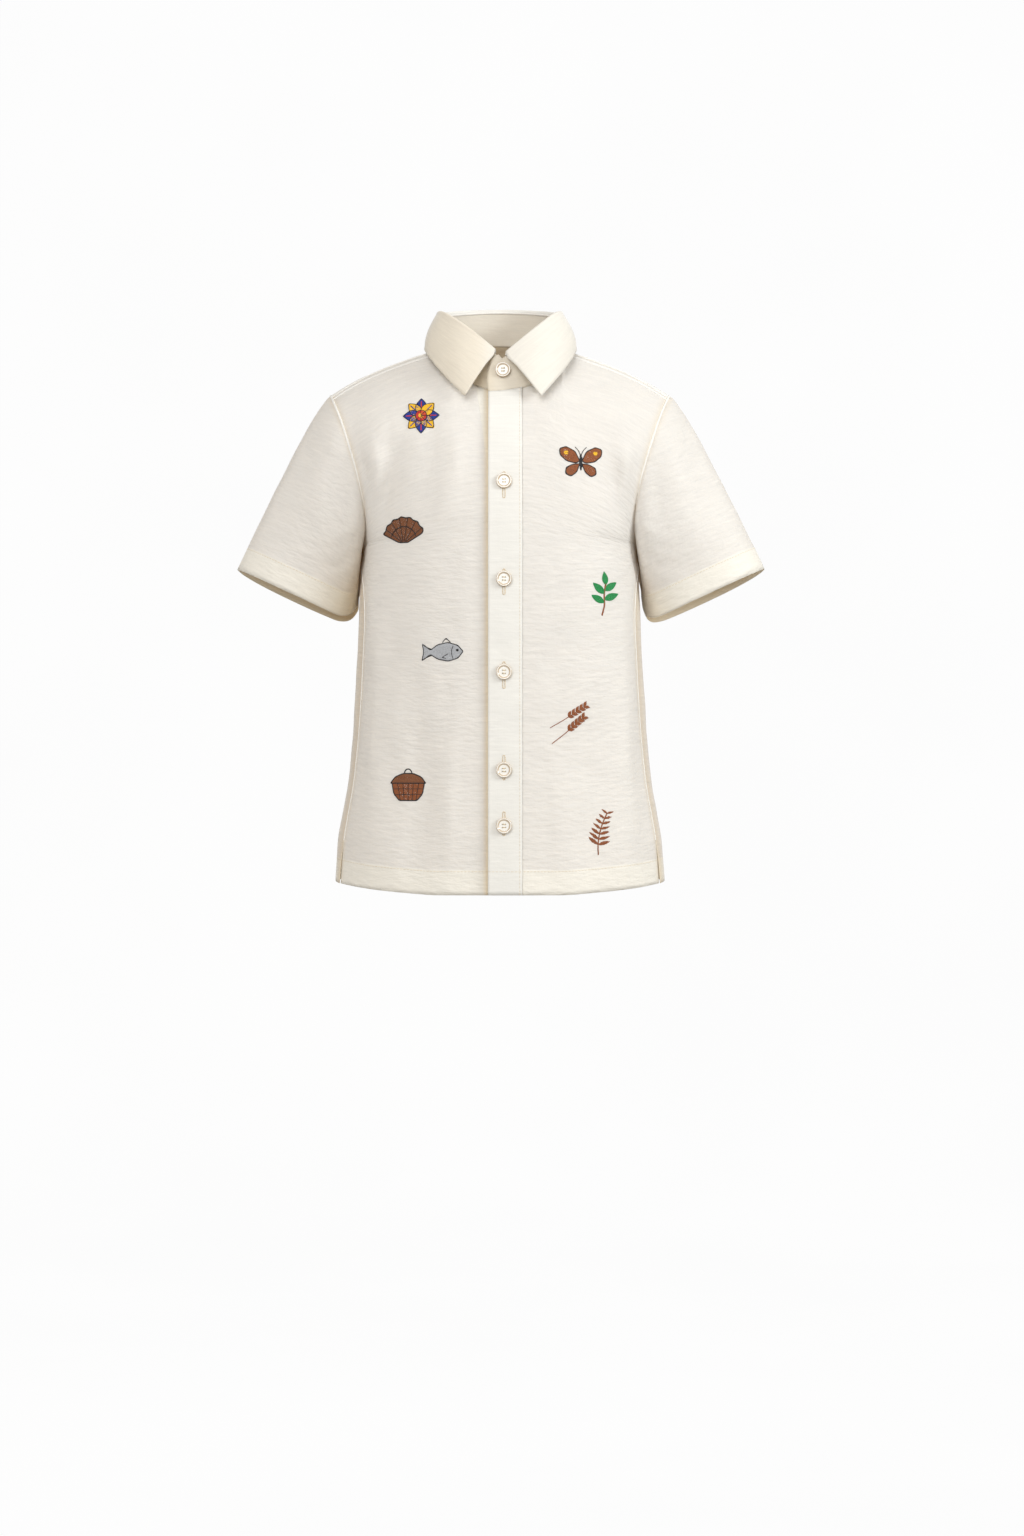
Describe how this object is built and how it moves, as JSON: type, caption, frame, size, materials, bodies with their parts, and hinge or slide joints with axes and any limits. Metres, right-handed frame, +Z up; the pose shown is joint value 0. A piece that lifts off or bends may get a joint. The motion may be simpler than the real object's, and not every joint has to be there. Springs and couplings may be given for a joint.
{
  "type": "barong tagalog shirt",
  "caption": "Child's short-sleeved polo barong in thin ivory cloth, hollow and worn, buttoned down a wide placket, with a pointed collar, yoke, straight vented hem and small embroidered motifs.",
  "frame": {"origin": "the middle of the neck's base, level with the points where the shoulders meet the neck, where the wearer's shoulders hold the shirt", "axes": "+Z up along the shirt's length, +X to the wearer's left, -Y out of the front"},
  "size_m": [0.4423, 0.2037, 0.4951],
  "materials": {
    "sheer_cloth": "thin slubby jusi or linen-like weave, ivory",
    "collar_cloth": "doubled ivory cloth of the collar and placket",
    "pearly_shell": "polished pearly buttons",
    "embroidery_thread": "raised satin stitch in coloured threads"
  },
  "bodies": {
    "root": {"front_right": "sheer_cloth", "front_left": "sheer_cloth", "back": "sheer_cloth", "yoke": "sheer_cloth", "sleeve_right": "sheer_cloth", "sleeve_left": "sheer_cloth", "collar_stand": "collar_cloth", "collar_fall": "collar_cloth", "placket": "collar_cloth", "button_1": "pearly_shell", "button_2": "pearly_shell", "button_3": "pearly_shell", "button_4": "pearly_shell", "button_5": "pearly_shell", "button_6": "pearly_shell"}
  },
  "joints": []
}
